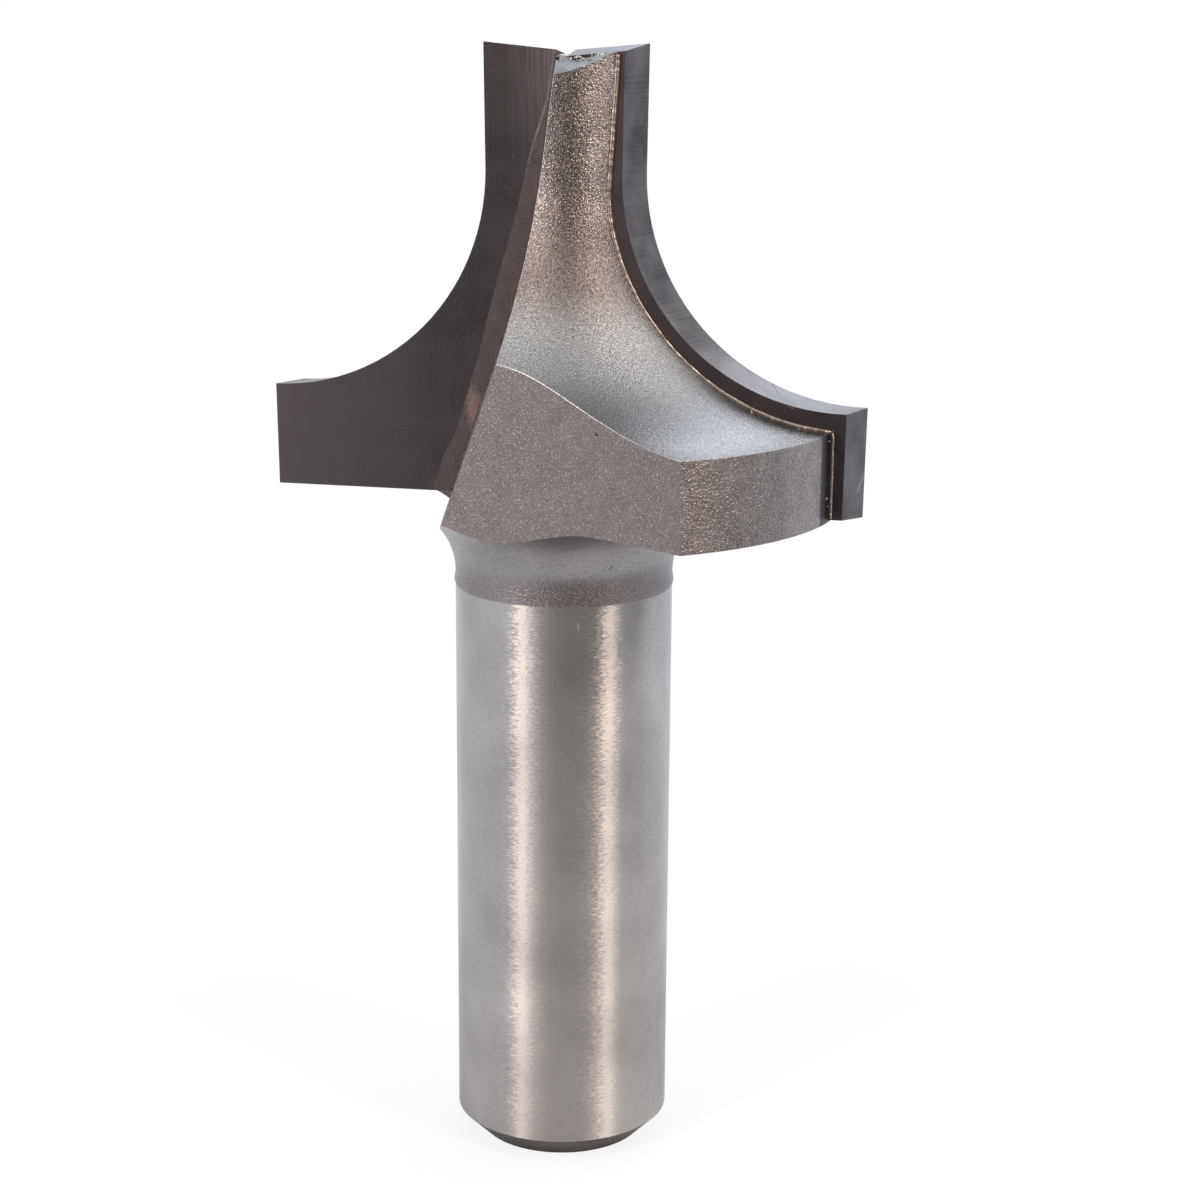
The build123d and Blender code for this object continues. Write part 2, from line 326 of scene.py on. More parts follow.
finishes = {
    "shank": groundShankSteel("centreless ground steel", {
        "dark": "9D9896", "light": "C3BEBB", "toneSpan": (0.5, 1.1), "gloss": 0.38, "glossSwing": 0.03,
        "anisotropy": 0.95, "quarterTurn": 0.25, "cloud": 5.0,
        "line": (0.3, 0.3, 0.085), "lineDepth": 0.002, "lineSwing": 0.065, "lineShow": 0.6,
        "scratches": (((2.16, -5.96, 33.2), (2.2, -5.95, 32.85), 0.05, "F0ECE8"),)}),
    # painted shade: the downward chamfer is darkened for the shadowed floor that it reflects
    "turned": groundFace("turned steel end with painted shade", {
        "dark": "5A5554", "light": "767271", "pit": "3A3635", "gloss": 0.4, "line": (0.4, 0.4, 0.06),
        "lineDepth": 0.004, "lineShow": 0.5, "cloud": 2.0, "pitSpacing": 3.0}),
    "neck": blastedSteel("fine blasted steel neck", {
        "dark": "838284", "light": "A09D9D", "tip": "D6CAC2", "grain": 0.12, "depth": 0.03, "gloss": 0.34,
        "swell": 0.2, "cloud": 2.5, "glintSize": 0.08, "glintFrom": 0.72, "pitSpacing": 0.5,
        "scorch": (34.9, 36.2, "DCC3BB", 1.9),
        "scratches": (((1.39, -7.29, 37.69), (2.53, -7.24, 37.93), 0.035, "5C5A5A"),
                      ((4.86, -5.02, 37.11), (5.4, -4.57, 37.24), 0.035, "5C5A5A"),
                      ((3.97, -5.38, 36.5), (3.85, -5.4, 36.35), 0.06, "444242"))}),
    "milled": blastedSteel("blasted milled steel face", {
        "dark": "766D6A", "light": "8C8380", "tip": "CFC5BF", "grain": 0.12, "depth": 0.024, "gloss": 0.55,
        "swell": 0.2, "cloud": 1.2, "glintSize": 0.065, "glintFrom": 0.62, "pitSpacing": 3.4,
        "scratches": (((4.05, -10.0, 44.78), (4.2, -10.0, 44.7), 0.14, "2A2524"),)}),
    "rim": blastedSteel("coarse blasted steel rim", {
        "dark": "7A716D", "light": "B0A6A1", "tip": "E4D8D0", "grain": 0.13, "depth": 0.05, "gloss": 0.3,
        "swell": 0.3, "cloud": 1.5, "glintSize": 0.09, "glintFrom": 0.66, "pitSpacing": 3.0,
        # a smoother band along the seat, darkened by a painted reflection of the cutter's dark back
        "band": 4.2, "bandRagged": 0.1, "bandSoft": 0.15, "bandReflectionColour": "2A2524", "bandShare": 0.95,
        "bandRelief": 0.2875, "scratches": (((12.93, -9.0, 44.2), (13.14, -9.2, 44.0), 0.09, "453C3A"),)}),
    "cove": blastedSteel("blasted steel cove", {
        "dark": "756C69", "light": "C4B8B2", "tip": "EAE0D9", "grain": 0.095, "depth": 0.046, "gloss": 0.26,
        "swell": 0.2, "cloud": 2.2, "glintSize": 0.072, "glintFrom": 0.7, "pitSpacing": 2.6,
        "finer": (44.5, 47.5, 0.5), "dull": (45.0, 48.0, 51.5, 57.5, 0.15),
        # painted light and shade by height, from the warm nose down to the cooler floor of the cove: heights,
        # share and colour
        "heightShades": ((54.0, 57.5, 0.75, "6C6562"), (48.5, 52.5, 0.9, "A3A3A2"), (44.5, 48.0, 1.0, "8D8B89")),
        "zoneGrain": (0.68, 1.3),
        "scratches": (((10.6, -9.0, 44.42), (10.75, -9.3, 44.36), 0.07, "4C4A4A"),
                      ((11.2, -8.5, 44.4), (11.45, -8.6, 44.38), 0.07, "444242"),
                      ((9.7, -5.7, 45.4), (9.75, -5.85, 45.36), 0.07, "4A4848"),
                      ((12.85, -8.85, 44.2), (13.0, -8.95, 44.15), 0.1, "4A4240"))}),
    # painted highlight: a paler blasted finish for the rounded upper edge of the milled face
    "edge": blastedSteel("painted highlight steel edge", {
        "dark": "A8A29E", "light": "D4CCC6", "tip": "EFE6DF", "grain": 0.14, "depth": 0.03, "gloss": 0.3,
        "swell": 0.2, "cloud": 0.8, "glintSize": 0.1, "glintFrom": 0.62, "pitSpacing": 1.2}),
    "tipEnd": groundFace("ground steel tip", {
        "dark": "8F9191", "light": "B4B7B7", "pit": "6A6664", "gloss": 0.38, "line": (2.5, 0.07, 0.07),
        "lineDepth": 0.004, "lineShow": 0.8, "cloud": 0.8, "pitSpacing": 0.9}),
    "rake": groundFace("ground carbide rake face", {
        "dark": "413D3D", "light": "4D4848", "pit": "6A5E5A", "gloss": 0.42, "line": (0.09, 3.0, 7.0),
        "lineDepth": 0.0015, "lineShow": 0.7, "cloud": 3.0, "pitSpacing": 4.5, "grain": (0.13, 0.84, 1.16),
        "streak": (57.5, 63.0, "72696A"), "worn": (6.0, 17.0, "5C5557")}),
    "strip": groundFace("as-sintered carbide", {
        "dark": "574F4F", "light": "635A59", "pit": "7C706A", "gloss": 0.5, "line": (0.3, 0.3, 1.2),
        "lineDepth": 0.003, "lineShow": 0.6, "cloud": 1.0, "pitSpacing": 1.8, "grain": (0.13, 0.85, 1.15),
        "smear": (-5.45, 44.2, 0.5, 1.5, "94807A")}),
    "land": groundFace("ground carbide relief land", {
        "dark": "4A4748", "light": "726D6D", "pit": "39363A", "gloss": 0.31, "line": (0.07, 40.0, 0.07),
        "lineDepth": 0.003, "lineShow": 0.6, "cloud": 2.0, "pitSpacing": 1.7, "shear": bit["sideRelief"],
        "scratches": (((12.03, -0.14, 46.32), (12.67, -1.17, 45.88), 0.055, "29272A"),
                      ((11.05, -1.65, 46.49), (11.44, -1.95, 46.24), 0.055, "29272A"),
                      ((17.4, -0.1, 41.3), (17.12, -0.74, 40.5), 0.05, "B8B5B2"))}),
    "back": groundFace("as-sintered carbide back", {
        "dark": "474143", "light": "544C4D", "pit": "2C2728", "gloss": 0.5, "line": (0.2, 0.2, 0.2),
        "lineDepth": 0.004, "lineShow": 0.5, "cloud": 1.5, "pitSpacing": 2.0}),
    # burnt flux and painted shade, for the deep and steep faces of the broken tip
    "flux": groundFace("burnt flux and painted pit shade", {
        "dark": "1E1A19", "light": "3A322E", "pit": "15110F", "gloss": 0.6, "line": (0.1, 0.1, 0.1),
        "lineDepth": 0.01, "lineShow": 0.5, "cloud": 0.3, "pitSpacing": 0.4}),
    "tarnish": silverBraze("tarnished braze", {
        "bright": "7A6A60", "burnt": "4A403C", "gloss": 0.4, "burntGloss": 0.65, "burntSpan": (0.4, 0.62),
        "ripple": 0.2, "depth": 0.012, "flux": 0.4}),
    "braze": silverBraze("silver braze", {
        "bright": "C2B5AD", "burnt": "8E8076", "gloss": 0.34, "burntGloss": 0.59, "burntSpan": (0.4, 0.62),
        "ripple": 0.2, "depth": 0.012, "flux": 0.5}),
}
print("materials made:", len(finishes))


def mergedCopy(node):
    mesh = bmesh.new()
    mesh.from_mesh(nodes[node].data)
    bmesh.ops.remove_doubles(mesh, verts=mesh.verts, dist=touching)
    return mesh


# Whether the two faces at an edge meet at more than this many degrees
def isSharp(edge, degrees):
    return edge.is_manifold and edge.calc_face_angle() > math.radians(degrees)


# Takes out the edges between faces that lie in one plane
def joinFlatFaces(mesh, **limits):
    bmesh.ops.dissolve_limit(
        mesh, angle_limit=math.radians(flatWithin), verts=mesh.verts, edges=mesh.edges, **limits)


# Cuts these faces along a plane through a place in mm
def cutFaces(mesh, faces, place, normal):
    geom = [*faces, *{e for f in faces for e in f.edges}, *{v for f in faces for v in f.verts}]
    bmesh.ops.bisect_plane(mesh, geom=geom, dist=touching, plane_co=place * mm, plane_no=normal)


# Groups the faces that meet without a sharp edge, which gives the faces of the solid back
def smoothPatches(mesh, sharpEdge):
    mesh.faces.ensure_lookup_table()
    seen, patches = set(), []
    for start in mesh.faces:
        if start in seen:
            continue
        seen.add(start)
        patch, waiting = [], [start]
        while waiting:
            face = waiting.pop()
            patch.append(face)
            for edge in face.edges:
                if not edge.is_manifold or isSharp(edge, sharpEdge):
                    continue
                for other in edge.link_faces:
                    if other not in seen:
                        seen.add(other)
                        waiting.append(other)
        patches.append(patch)
    return patches


# How much the faces of a patch lean out of round about the Z axis: none on a turned surface
def outOfRound(patch):
    total = sum(face.calc_area() for face in patch)
    lean = 0.0
    for face in patch:
        centre = face.calc_center_median()
        aside = Vector((-centre.y, centre.x, 0.0))
        if aside.length > touching:
            lean += abs(face.normal.dot(aside.normalized())) * face.calc_area()
    return lean / total


# Joins each short edge inside a patch onto its sharp end, so that the rounding has room
def clearShortEdges(mesh, shortest, sharpEdge):
    onSharp = {v for e in mesh.edges if isSharp(e, sharpEdge) for v in e.verts}
    while True:
        targets, used = {}, set()
        for edge in mesh.edges:
            a, b = edge.verts
            if edge.calc_length() > shortest or a in used or b in used or (a in onSharp and b in onSharp):
                continue
            gone, kept = (b, a) if a in onSharp else (a, b)
            targets[gone] = kept
            used |= {v for face in [*gone.link_faces, *kept.link_faces] for v in face.verts}
        if not targets:
            return
        bmesh.ops.weld_verts(mesh, targetmap=targets)
        onSharp = {v for v in onSharp if v.is_valid}


def newPiece(name, mesh, kinds, node):
    openEdges = sum(not edge.is_manifold for edge in mesh.edges)
    print(name + ":", len(mesh.faces), "faces,", openEdges, "open edges")
    for face in mesh.faces:
        face.smooth = True
    data = bpy.data.meshes.new(name)
    mesh.to_mesh(data)
    mesh.free()
    for kind in kinds:
        data.materials.append(finishes[kind])
    piece = addObject(name, data)
    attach(piece, "root")
    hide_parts(node)
    return piece


# Steel body: the turned and milled blank with its edges rounded by the blasting
steelBody = {
    "name": "steelBody",
    "sharpEdge": 20.0,    # degrees
    "roundWithin": 0.05,  # a patch that leans out of round by less was turned, the others were milled
    "edgeRound": 0.1,
    "edgeSteps": 2,
    "shortEdge": 0.16,
    "blend": 30.0,        # degrees, faces that meet flatter than this are shaded as one
    "ringTop": 34.9, "softTop": 36.0, "ringShow": 0.1,
    "facesUp": 0.8,       # Z of a normal, from which a face looks up
    "endDepth": 2.0,      # the ground end lies within this of the steel's top
    "finishes": ("shank", "turned", "neck", "milled", "rim", "cove", "tipEnd", "flux", "edge"),
}

# The place on the ground tip where braze and a chip of steel are missing beside a cutter's back
tipBreak = {
    "from": 0.8, "to": 2.4,           # along X
    "floor": -2.62, "lip": -2.98,     # Y where the flat floor ends, and where the hole runs out
    "depth": 0.6,
    "ragged": 0.8, "lipRagged": 0.05,                # share of the size that noise adds and takes
    "rough": ((5, 3.0, 1.0), (13, 8.0, 0.6)),        # coarse and fine noise: scale, place and share
    "grid": 0.075,
    "reach": (-0.3, 3.0, -3.55, -2.3), "reachDown": 1.2,
    # burnt flux and painted shade: the dark finish goes where the hole is deeper than this, and where its
    # side is this steep
    "dark": 0.02, "steep": 0.8,
    "scratch": ((1.05, -3.08), (2.2, -3.33), 0.06, 0.07),   # ends, half width, depth
    "pits": ((0.09, -2.62, 0.13, 0.2), (0.36, -2.96, 0.09, 0.1), (0.2, -2.8, 0.06, 0.08)),
}


def steelFinish(face, turned):
    centre = face.calc_center_median() / mm
    if face.normal.z > steelBody["facesUp"] and centre.z > bit["steelTop"] - steelBody["endDepth"]:
        return "tipEnd"
    if not turned:
        return "milled"
    # the chamfer and the end get the dark finish, whose darkness is painted shade
    if centre.z < bit["shankChamfer"] * 0.99:
        return "turned"
    if centre.z < bit["shankGroundTop"]:
        return "shank"
    if centre.z < bit["flangeUnderside"] + 0.01:
        return "neck"
    if abs(face.normal.z) < 0.01 and math.hypot(centre.x, centre.y) > bit["rimRadius"] - 0.1:
        return "rim"
    return "cove"


# How far the surface is sunk at a place on the tip, in millimetres
def tipSink(x, y):
    rough = sum(share * noise.noise(Vector((x * scale, y * scale, z)))
                for scale, z, share in tipBreak["rough"])
    ease = 1 + tipBreak["ragged"] * rough
    middle, half = (tipBreak["from"] + tipBreak["to"]) / 2, (tipBreak["to"] - tipBreak["from"]) / 2
    along = max(0.0, 1 - (abs(x - middle) / (half * ease)) ** 3)
    lip = tipBreak["lip"] * (1 + tipBreak["lipRagged"] * rough)
    across = min(1.0, max(0.0, (y - lip) / (tipBreak["floor"] - tipBreak["lip"])))
    sink = tipBreak["depth"] * ease * along * across
    start, end, half, depth = tipBreak["scratch"]
    here, line = Vector((x, y)) - Vector(start), Vector(end) - Vector(start)
    share = min(1.0, max(0.0, here.dot(line) / line.length_squared))
    sink = max(sink, depth * ease * max(0.0, 1 - (here - share * line).length / (half * ease)))
    for px, py, radius, depth in tipBreak["pits"]:
        sink = max(sink, depth * max(0.0, 1 - (math.hypot(x - px, y - py) / (radius * ease)) ** 2))
    return sink


# Cuts the tip round the broken place into a fine grid and sinks its corners
def breakTip(mesh):
    low, high, back, front = tipBreak["reach"]
    step = tipBreak["grid"]
    for normal, start, end in ((Vector((1, 0, 0)), low, high), (Vector((0, 1, 0)), back, front)):
        for i in range(round((end - start) / step) + 1):
            cutFaces(mesh, [face for face in mesh.faces if onTip(face)], normal * (start + i * step), normal)
    for vert in mesh.verts:
        x, y, z = vert.co / mm
        if z > bit["steelTop"] - tipBreak["reachDown"] and low < x < high and back < y < front:
            vert.co.z -= tipSink(x, y) * mm


def onTip(face):
    centre = face.calc_center_median() / mm
    top = max(vert.co.z for vert in face.verts) / mm
    onSeat = -bit["seatDepth"] - 0.15 < centre.y < -bit["cutterThickness"] + 0.01
    return (centre.y < 0 and top > bit["steelTop"] - tipBreak["reachDown"]
            and (onSeat or face.normal.z > steelBody["facesUp"]))


# The seat edge of side 2 on the turned surface, from the tip down to the underside
def seatEdge(mesh, turnedFaces):
    links = {}
    for edge in mesh.edges:
        if not edge.is_manifold or len({face in turnedFaces for face in edge.link_faces}) < 2:
            continue
        if any(abs(v.co.y / mm + bit["seatDepth"]) > 0.002 or v.co.x < 0 for v in edge.verts):
            continue
        if any(face in turnedFaces and face.normal.z < -0.9 for face in edge.link_faces):
            continue
        a, b = edge.verts
        links.setdefault(a, []).append(b)
        links.setdefault(b, []).append(a)
    vert, last = max(links, key=lambda v: v.co.z), None
    path = [vert.co.copy()]
    while True:
        ahead = [v for v in links[vert] if v is not last]
        if not ahead:
            return path
        vert, last = ahead[0], vert
        path.append(vert.co.copy())


# Edges that were ground after the blasting, and the crisp one between the rim and the milled face
def staysSharp(edge):
    kinds = {steelBody["finishes"][face.material_index] for face in edge.link_faces}
    return bool(kinds & {"tipEnd", "shank", "turned"}) or kinds == {"milled", "rim"}


# The rounded faces at the upper edge of the milled face, which get a paler finish as a painted highlight
def highlightedEdgeFaces(rounded, layer):
    upperEdge = {steelBody["finishes"].index(kind) for kind in ("cove", "milled")}
    paintedBright = []
    for face in rounded:
        joined = [f for edge in face.edges for f in edge.link_faces if f is not face]
        beside = {f.material_index for f in joined if not f[layer]}
        if len(beside) != 1 or not beside <= upperEdge or len(face.verts) != 4:
            continue
        corners = {*face.verts, *(v for f in joined if f[layer] for v in f.verts)}
        if upperEdge <= {f.material_index for v in corners for f in v.link_faces if not f[layer]}:
            paintedBright.append(face)
    return paintedBright


# Shading follows the solid's own faces, and a rounded edge blends from one to the other
def cornerNormal(corner, layer):
    face, vert = corner.face, corner.vert
    kinds = steelBody["finishes"]
    kind = kinds[face.material_index]
    if kind == "shank":
        return Vector((vert.co.x, vert.co.y, 0.0)).normalized()
    around = [f for f in vert.link_faces if not f[layer]] or list(vert.link_faces)
    if not face[layer]:
        around = [f for f in around if f.normal.angle(face.normal, 0.0) < math.radians(steelBody["blend"])
                  and kinds[f.material_index] != "shank"]
    normal = sum((f.normal * f.calc_area() for f in around), Vector())
    if kind == "neck":   # the blasting softened the ring and the foot of the neck
        rise = (vert.co.z / mm - steelBody["ringTop"]) / (steelBody["softTop"] - steelBody["ringTop"])
        normal.z *= steelBody["ringShow"] + (1 - steelBody["ringShow"]) * min(1.0, max(0.0, rise))
    return normal.normalized()


def makeSteelBody():
    mesh = mergedCopy("steel_body")
    layer = mesh.faces.layers.int.new("rounded")
    names = steelBody["finishes"]
    turnedFaces = set()
    for patch in smoothPatches(mesh, steelBody["sharpEdge"]):
        turned = outOfRound(patch) < steelBody["roundWithin"]
        if turned:
            turnedFaces |= set(patch)
        for face in patch:
            face.material_index = names.index(steelFinish(face, turned))
    path = seatEdge(mesh, turnedFaces)
    clearShortEdges(mesh, steelBody["shortEdge"] * mm, steelBody["sharpEdge"])
    joinFlatFaces(mesh, delimit={"MATERIAL"})
    sharp = [edge for edge in mesh.edges if isSharp(edge, steelBody["sharpEdge"]) and not staysSharp(edge)]
    rounded = bmesh.ops.bevel(mesh, geom=sharp, offset=steelBody["edgeRound"] * mm, offset_type="OFFSET",
                              segments=steelBody["edgeSteps"], profile=0.5, affect="EDGES",
                              clamp_overlap=True, material=-1)["faces"]
    for face in rounded:
        face[layer] = 1
    # painted highlight: the rounded upper edge of the milled face gets the paler finish
    for face in highlightedEdgeFaces(rounded, layer):
        face.material_index = names.index("edge")
    breakTip(mesh)
    mesh.normal_update()
    # burnt flux and painted shade on the deep and steep faces of the broken tip
    for face in mesh.faces:
        x, y, _ = face.calc_center_median() / mm
        if onTip(face) and 0 < x < tipBreak["reach"][1] and (
                tipSink(x, y) > tipBreak["dark"] or face.normal.z < tipBreak["steep"]):
            face.material_index = names.index("flux")
    normals = [cornerNormal(corner, layer) for face in mesh.faces for corner in face.loops]
    piece = newPiece(steelBody["name"], mesh, names, "steel_body")
    piece.data.normals_split_custom_set(normals)
    return path


beadPath = makeSteelBody()


# Carbide cutters: the plate as packed, each kind of face with its own grinding, and a strip
# beside the gullet wall that the wheel did not reach
cutters = {
    "pieces": {"carbideCutter1": ("carbide_cutter_1", -1), "carbideCutter2": ("carbide_cutter_2", 1)},
    "finishes": ("rake", "land", "back", "strip"),
    "sharpEdge": 20.0, "stepEdge": 2.0,   # degrees, the second where the strip steps up from the rake face
    "stripHigh": 0.03, "stripLow": 0.004, "highFrom": 58.5, "ramp": 0.15,
    # where the strip ends on the rake face of side 1, as X and Z
    "stripLine": (
        (-0.63, 65.5), (-1.14, 61.9), (-2.12, 58.8), (-2.23, 58.3), (-2.82, 55.7), (-4.33, 50.5),
        (-5.07, 47.5), (-5.75, 45.2), (-6.50, 42.8), (-7.25, 41.3), (-8.2, 38.5)),
}


def cutterFinish(face, side):
    centre, normal = face.calc_center_median() / mm, face.normal
    if abs(centre.y) < 0.01:
        return "strip" if onStrip(centre, side, 0.0) else "rake"
    if abs(abs(centre.y) - bit["cutterThickness"]) < 0.01:
        return "back"
    if normal.x * side < -0.5 and normal.z < 0.4:
        return "back"   # inner edge, towards the gullet wall
    return "land"


def onStrip(place, side, ramp):
    line = cutters["stripLine"]
    for (x0, z0), (x1, z1) in zip(line, line[1:]):
        if z1 <= place.z <= z0:
            return place.x * -side > x0 + ramp + (x1 - x0) * (z0 - place.z) / (z0 - z1)
    return False


def onRakePlane(vert):
    return abs(vert.co.y) < 1e-6


def cutRake(mesh, place, normal, low, high):
    cutFaces(mesh, [f for f in mesh.faces if all(onRakePlane(v) for v in f.verts)
                    and low * mm < f.calc_center_median().z < high * mm], place, normal)


def makeCutter(name, node, side):
    mesh = mergedCopy(node)
    joinFlatFaces(mesh)
    line = cutters["stripLine"]
    for _, z in line:
        cutRake(mesh, Vector((0, 0, z)), Vector((0, 0, 1)), 0.0, bit["height"])
    for (x0, z0), (x1, z1) in zip(line, line[1:]):
        for ramp in (0.0, cutters["ramp"]):
            start, end = Vector((-side * (x0 + ramp), 0, z0)), Vector((-side * (x1 + ramp), 0, z1))
            cutRake(mesh, start, (end - start).cross(Vector((0, 1, 0))), z1, z0)
    for face in mesh.faces:
        face.material_index = cutters["finishes"].index(cutterFinish(face, side))
    for vert in mesh.verts:
        if onRakePlane(vert) and onStrip(vert.co / mm, side, cutters["ramp"] - 0.001):
            height = cutters["stripHigh" if vert.co.z > cutters["highFrom"] * mm else "stripLow"]
            vert.co.y += side * height * mm
    mesh.normal_update()
    rakes = {cutters["finishes"].index(kind) for kind in ("rake", "strip")}
    for edge in mesh.edges:
        onRake = {face.material_index for face in edge.link_faces} <= rakes
        edge.smooth = not isSharp(edge, cutters["stepEdge" if onRake else "sharpEdge"])
    newPiece(name, mesh, cutters["finishes"], node)


for cutterName, (cutterNode, cutterSide) in cutters["pieces"].items():
    makeCutter(cutterName, cutterNode, cutterSide)


# Braze: the thin layer in each seat, the bead that came out along the steel's edge, the small
# drops left on the steel beside it, and the larger ones in the broken tip
braze = {
    # what the bead is made from: its lengths in mm, then shares and counts
    "lengths": {
        "Width": 0.29, "Step": 0.07, "Wander": 0.05, "Wander size": 0.9, "Bump size": 0.15,
        "Slim from": 57.0, "Slim to": 51.0,   # the bead narrows between these heights
        "Drop spacing": 0.16, "Smallest drop": 0.03, "Largest drop": 0.07, "Drop spread": 0.9,
        "Drop top": 62.5,     # no loose drop above this height, where the end of the nose is ground
    },
    "shares": {"Width swing": 0.16, "Slim": 0.8, "Drop share": 0.14},
    # how often each point of the path is averaged with its neighbours, and the seed of the drops
    "counts": {"Rounding": 14, "Seed": 7},
    # single drops: place and radius, in the broken tip and on the edge of cutter 2
    "drops": ((1.3, -2.74, 64.27, 0.16), (1.52, -2.68, 64.2, 0.12), (1.12, -2.8, 64.24, 0.08),
              (13.30, -2.38, 45.43, 0.05), (13.50, -2.38, 45.37, 0.06), (0.12, -2.35, 64.3, 0.1)),
    "dropShape": (1.2, 0.9, 0.6, 1.0),
    "sharpEdge": 40.0,
}


def beadTree(values):
    tree = bpy.data.node_groups.new("braze bead", "GeometryNodeTree")
    kinds = {float: "NodeSocketFloat", int: "NodeSocketInt", bpy.types.Material: "NodeSocketMaterial"}
    tree.interface.new_socket("Path", in_out="INPUT", socket_type="NodeSocketGeometry")
    for name, value in values.items():
        tree.interface.new_socket(name, in_out="INPUT", socket_type=kinds[type(value)])
    tree.interface.new_socket("Bead", in_out="OUTPUT", socket_type="NodeSocketGeometry")
    add = partial(addNode, tree)
    given = add("NodeGroupInput").outputs
    place = add("GeometryNodeInputPosition").outputs["Position"]
    rise = add("SeparateXYZ", {"Vector": place}).outputs["Z"]

    # noise with lumps as large as one of the inputs
    def lumps(size):
        scale = add("Math", [1.0, given[size]], operation="DIVIDE")
        return add("TexNoise", {"Vector": place, "Scale": scale, "Detail": 2.0})

    fine = add("GeometryNodeResampleCurve", {"Curve": given["Path"], "Length": given["Step"]}, mode="LENGTH")
    # liquid metal rounds the corner that the steel's edge turns
    eased = add("GeometryNodeBlurAttribute", {"Value": place, "Iterations": given["Rounding"]},
                data_type="FLOAT_VECTOR")
    soft = add("GeometryNodeSetPosition", {"Geometry": fine, "Position": eased})
    drift = lumps("Wander size").outputs["Color"]
    centred = add("VectorMath", [drift, (0.5, 0.5, 0.5)], operation="SUBTRACT")
    offset = add("VectorMath", {0: centred, "Scale": given["Wander"]}, operation="SCALE")
    moved = add("GeometryNodeSetPosition", {"Geometry": soft, "Offset": offset})

    least, most = (add("Math", [1.0, given["Width swing"]], operation=way) for way in ("SUBTRACT", "ADD"))
    share = add("MapRange", [lumps("Bump size"), *noiseSpan, least, most])
    slim = add("MapRange", [rise, given["Slim from"], given["Slim to"], 1.0, given["Slim"]])
    radius = add("Math", [given["Width"], 0.5], operation="MULTIPLY")
    for part in (slim, share):
        radius = add("Math", [part, radius], operation="MULTIPLY")
    ring = add("GeometryNodeCurvePrimitiveCircle", {"Resolution": 10, "Radius": 1.0}, mode="RADIUS")
    bead = add("GeometryNodeCurveToMesh", {
        "Curve": moved, "Profile Curve": ring, "Scale": radius, "Fill Caps": True})

    spots = add("GeometryNodeCurveToPoints", {
        "Curve": given["Path"], "Length": given["Drop spacing"]}, mode="LENGTH")
    keep = add("FunctionNodeRandomValue", {
        "Probability": given["Drop share"], "Seed": given["Seed"]}, data_type="BOOLEAN")
    lowEnough = add("FunctionNodeCompare", [rise, given["Drop top"]],
                    data_type="FLOAT", operation="LESS_THAN")
    chosen = add("FunctionNodeBooleanMath", [keep, lowEnough], operation="AND")
    nextSeed, lastSeed = (add("Math", [given["Seed"], more], operation="ADD") for more in (1.0, 2.0))
    size = add("FunctionNodeRandomValue", {
        2: given["Smallest drop"], 3: given["Largest drop"], "Seed": nextSeed}, data_type="FLOAT")
    spread = add("FunctionNodeRandomValue", {
        2: 0.0, 3: given["Drop spread"], "Seed": lastSeed}, data_type="FLOAT")
    # a drop stays on the turned surface: it only goes round the axis, away from the seat
    flat = add("VectorMath", [place, (1.0, 1.0, 0.0)], operation="MULTIPLY")
    fromAxis = add("VectorMath", [flat], operation="LENGTH")
    angle = add("Math", [spread, fromAxis], operation="DIVIDE")
    onSurface = add("VectorRotate", {"Vector": place, "Angle": angle}, rotation_type="Z_AXIS", invert=True)
    scattered = add("GeometryNodeSetPosition", {"Geometry": spots, "Position": onSurface})
    drop = add("GeometryNodeMeshIcoSphere", {"Radius": 1.0, "Subdivisions": 2})
    drops = add("GeometryNodeInstanceOnPoints", {
        "Points": scattered, "Selection": chosen, "Instance": drop, "Scale": size})
    both = add("GeometryNodeJoinGeometry")
    for part in (bead, drops):
        fillInputs(both, {"Geometry": part})
    real = add("GeometryNodeRealizeInstances", {"Geometry": both})
    finish = add("GeometryNodeSetMaterial", {"Geometry": real, "Material": given["Braze"]})
    add("NodeGroupOutput", {"Bead": finish})
    return tree


def beadMesh(points):
    curve = bpy.data.curves.new("bead path", "CURVE")
    curve.dimensions = "3D"
    spline = curve.splines.new("POLY")
    spline.points.add(len(points) - 1)
    for at, point in zip(spline.points, points):
        at.co = (*point, 1.0)
    path = addObject("bead path", curve)
    values = {name: length * mm for name, length in braze["lengths"].items()}
    values |= braze["shares"] | braze["counts"] | {"Braze": finishes["braze"]}
    modifier = path.modifiers.new("braze bead", "NODES")
    modifier.node_group = beadTree(values)
    for socket in modifier.node_group.interface.items_tree:
        if socket.in_out == "INPUT" and socket.name in values:
            modifier[socket.identifier] = values[socket.name]
    graph = bpy.context.evaluated_depsgraph_get()
    made = bpy.data.meshes.new_from_object(path.evaluated_get(graph))
    path.modifiers.clear()
    bpy.data.objects.remove(path)
    return made


# Side 2 first, as the photograph shows it; the bead of side 1 is the same one turned over
def makeBraze():
    bead = beadMesh(beadPath)
    for number in (2, 1):
        node = "braze_joint_%d" % number
        mesh = mergedCopy(node)
        if number == 2:
            breakTip(mesh)
        else:
            bead.transform(Matrix.Rotation(math.pi, 4, "Z"))
        inSeat = len(mesh.faces)
        mesh.from_mesh(bead)
        if number == 2:
            for *place, radius in braze["drops"]:
                bmesh.ops.create_icosphere(
                    mesh, subdivisions=3, radius=radius * mm,
                    matrix=Matrix.Translation(Vector(place) * mm) @ Matrix.Diagonal(braze["dropShape"]))
        for count, face in enumerate(mesh.faces):   # what lies in the seat is tarnished
            face.material_index = 1 if count < inSeat else 0
        for edge in mesh.edges:
            edge.smooth = not isSharp(edge, braze["sharpEdge"])
        newPiece("brazeJoint%d" % number, mesh, ("braze", "tarnish"), node)


makeBraze()


